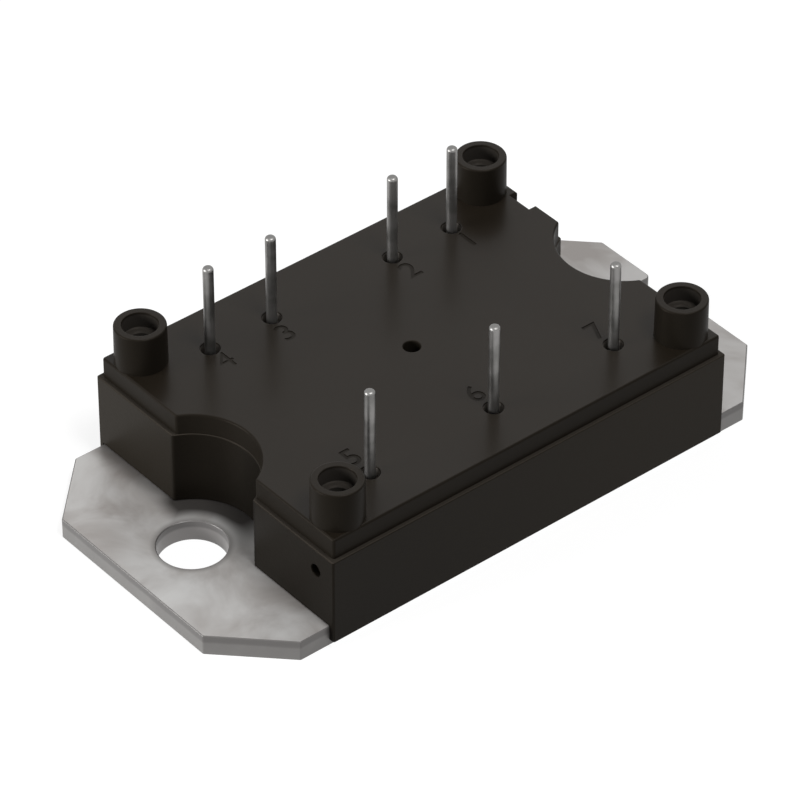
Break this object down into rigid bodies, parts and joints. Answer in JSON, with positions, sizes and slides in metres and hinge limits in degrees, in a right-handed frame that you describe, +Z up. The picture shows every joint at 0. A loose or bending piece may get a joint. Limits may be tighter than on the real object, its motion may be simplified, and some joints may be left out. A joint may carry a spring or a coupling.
{
  "type": "three-phase bridge rectifier module",
  "caption": "Flat power rectifier module: plated base plate with a mounting hole and an open slot, black moulded housing with board bosses, and upright solder pins.",
  "frame": {"origin": "centre of the base plate's underside", "axes": "+X along the plate towards the slotted ear, +Y towards the row of four pins, +Z up along the pins"},
  "size_m": [0.0636, 0.0334, 0.0208],
  "materials": {
    "nickel_plate": "dull nickel plating on copper, faintly clouded",
    "black_frame": "moulded, fine matt",
    "black_lid": "moulded, soft sheen",
    "tinned_pin": "bright tin plating on copper",
    "copper": "bare copper",
    "ceramic": "white alumina",
    "solder": "dull solder",
    "silicon": "metallised die",
    "aluminium_ribbon": "bright aluminium ribbon",
    "silicone_gel": "clear soft silicone",
    "adhesive": "dark adhesive"
  },
  "bodies": {
    "root": {"base_plate": "nickel_plate", "base_solder": "solder", "bond_ribbons_lower_1": "aluminium_ribbon", "bond_ribbons_lower_2": "aluminium_ribbon", "bond_ribbons_lower_3": "aluminium_ribbon", "bond_ribbons_upper_1": "aluminium_ribbon", "bond_ribbons_upper_2": "aluminium_ribbon", "bond_ribbons_upper_3": "aluminium_ribbon", "die_solder_lower_1": "solder", "die_solder_lower_2": "solder", "die_solder_lower_3": "solder", "die_solder_upper_1": "solder", "die_solder_upper_2": "solder", "die_solder_upper_3": "solder", "diode_lower_1": "silicon", "diode_lower_2": "silicon", "diode_lower_3": "silicon", "diode_upper_1": "silicon", "diode_upper_2": "silicon", "diode_upper_3": "silicon", "housing_adhesive": "adhesive", "housing_frame": "black_frame", "lid": "black_lid", "pin_ac_1": "tinned_pin", "pin_ac_2": "tinned_pin", "pin_ac_3": "tinned_pin", "pin_dc_minus_1": "tinned_pin", "pin_dc_minus_2": "tinned_pin", "pin_dc_plus_1": "tinned_pin", "pin_dc_plus_2": "tinned_pin", "pin_solder_ac_1": "solder", "pin_solder_ac_2": "solder", "pin_solder_ac_3": "solder", "pin_solder_dc_minus_1": "solder", "pin_solder_dc_minus_2": "solder", "pin_solder_dc_plus_1": "solder", "pin_solder_dc_plus_2": "solder", "silicone_gel": "silicone_gel", "substrate_back_copper": "copper", "substrate_ceramic": "ceramic", "track_ac_1": "copper", "track_ac_2": "copper", "track_ac_3": "copper", "track_dc_minus": "copper", "track_dc_plus": "copper"}
  },
  "joints": []
}
